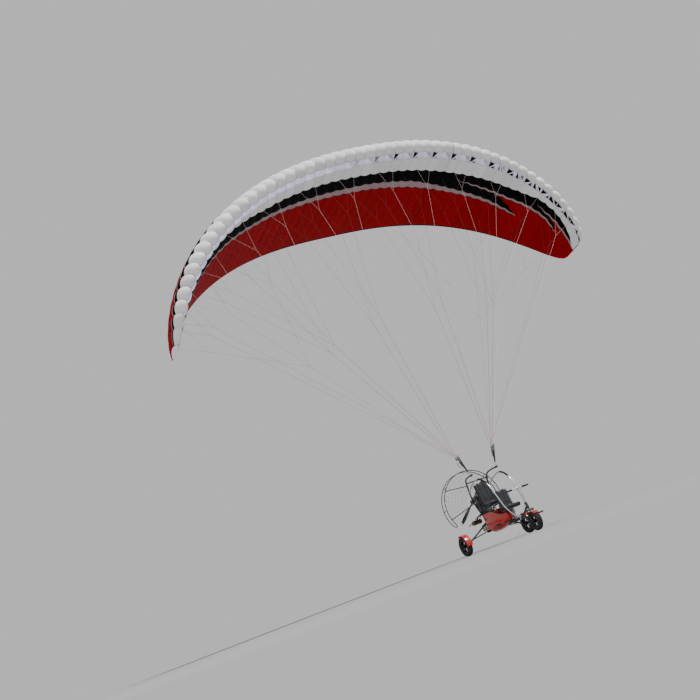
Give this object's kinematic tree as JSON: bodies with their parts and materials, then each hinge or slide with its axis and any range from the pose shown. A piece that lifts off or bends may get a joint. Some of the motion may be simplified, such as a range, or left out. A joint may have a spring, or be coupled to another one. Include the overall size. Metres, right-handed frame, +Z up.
{
  "type": "two-seat paramotor trike under an inflated ram-air wing",
  "caption": "Powered two-seat paraglider buggy on three wheels, with a pusher propeller in a hoop guard, under a red, black and white ram-air wing held up by taut lines.",
  "frame": {"origin": "on the floor, midway between the outermost points of the whole craft, wing included", "axes": "+X is the craft's left, -Y is forward, +Z is up"},
  "size_m": [10.3378, 4.4265, 9.111],
  "materials": {
    "wing_cloth": "ripstop sailcloth, matt",
    "line_cord": "sheathed line",
    "webbing": "woven webbing",
    "steel_ring": "polished",
    "tyre_rubber": "matt",
    "rim_alloy": "black, satin",
    "red_shell": "gloss",
    "bright_tube": "polished",
    "seat_cloth": "woven",
    "bare_alloy": "cast",
    "dark_alloy": "black, satin",
    "black_plastic": "satin",
    "exhaust_metal": "heat-stained",
    "carbon": "clear lacquer",
    "tank_plastic": "translucent, matt",
    "black_alloy_tube": "black, satin",
    "frame_steel": "black, satin"
  },
  "bodies": {
    "airframe": {"air_box": "black_plastic", "belly_pod": "red_shell", "engine_block": "bare_alloy", "engine_cylinder": "bare_alloy", "engine_mount": "bare_alloy", "exhaust": "exhaust_metal", "front_seat": "seat_cloth", "front_seat_frame": "bare_alloy", "fuel_tank": "tank_plastic", "guard_strut_lower_left": "black_alloy_tube", "guard_strut_lower_right": "black_alloy_tube", "guard_strut_upper_left": "black_alloy_tube", "guard_strut_upper_right": "black_alloy_tube", "hang_ring_left": "steel_ring", "hang_ring_right": "steel_ring", "keel": "frame_steel", "line_a_inner_left": "line_cord", "line_a_inner_right": "line_cord", "line_a_outer_left": "line_cord", "line_a_outer_right": "line_cord", "line_c_inner_left": "line_cord", "line_c_inner_right": "line_cord", "line_c_outer_left": "line_cord", "line_c_outer_right": "line_cord", "prop_hoop_front": "black_alloy_tube", "prop_hoop_rear": "black_alloy_tube", "rear_footrest_bar": "frame_steel", "rear_leg_left": "frame_steel", "rear_leg_right": "frame_steel", "rear_mudguard_left": "red_shell", "rear_mudguard_right": "red_shell", "rear_seat": "seat_cloth", "rear_seat_frame": "frame_steel", "reduction_drive": "dark_alloy", "riser_left": "webbing", "riser_right": "webbing", "side_hoop_left": "bright_tube", "side_hoop_right": "bright_tube", "top_cross_bar": "frame_steel", "upright_left": "black_alloy_tube", "upright_right": "black_alloy_tube", "wing_lower_skin_centre": "wing_cloth", "wing_lower_skin_left": "wing_cloth", "wing_lower_skin_right": "wing_cloth", "wing_upper_skin_centre": "wing_cloth", "wing_upper_skin_left": "wing_cloth", "wing_upper_skin_right": "wing_cloth"},
    "steering": {"fork": "frame_steel", "handlebar": "bright_tube", "front_mudguard": "red_shell"},
    "front_wheel": {"front_rim": "rim_alloy", "front_tyre": "tyre_rubber"},
    "rear_wheel_left": {"rear_rim_left": "rim_alloy", "rear_tyre_left": "tyre_rubber"},
    "rear_wheel_right": {"rear_rim_right": "rim_alloy", "rear_tyre_right": "tyre_rubber"},
    "propeller": {"propeller": "carbon", "prop_hub_plate": "bare_alloy"}
  },
  "joints": [
    {"name": "steering_turn", "type": "hinge", "parent": "airframe", "child": "steering", "pos_m": [0, -1.935, 0.52], "axis": [0, 0.2588, 0.9659], "range_deg": [-30, 30]},
    {"name": "front_wheel_spin", "type": "hinge", "parent": "steering", "child": "front_wheel", "pos_m": [0, -2.02341, 0.19004], "axis": [1, 0, 0], "continuous": true},
    {"name": "rear_wheel_left_spin", "type": "hinge", "parent": "airframe", "child": "rear_wheel_left", "pos_m": [0.775, -0.335, 0.215], "axis": [1, 0, 0], "continuous": true},
    {"name": "rear_wheel_right_spin", "type": "hinge", "parent": "airframe", "child": "rear_wheel_right", "pos_m": [-0.775, -0.335, 0.215], "axis": [1, 0, 0], "continuous": true},
    {"name": "propeller_spin", "type": "hinge", "parent": "airframe", "child": "propeller", "pos_m": [0, 0.137, 1.03], "axis": [0, 1, 0], "continuous": true}
  ]
}
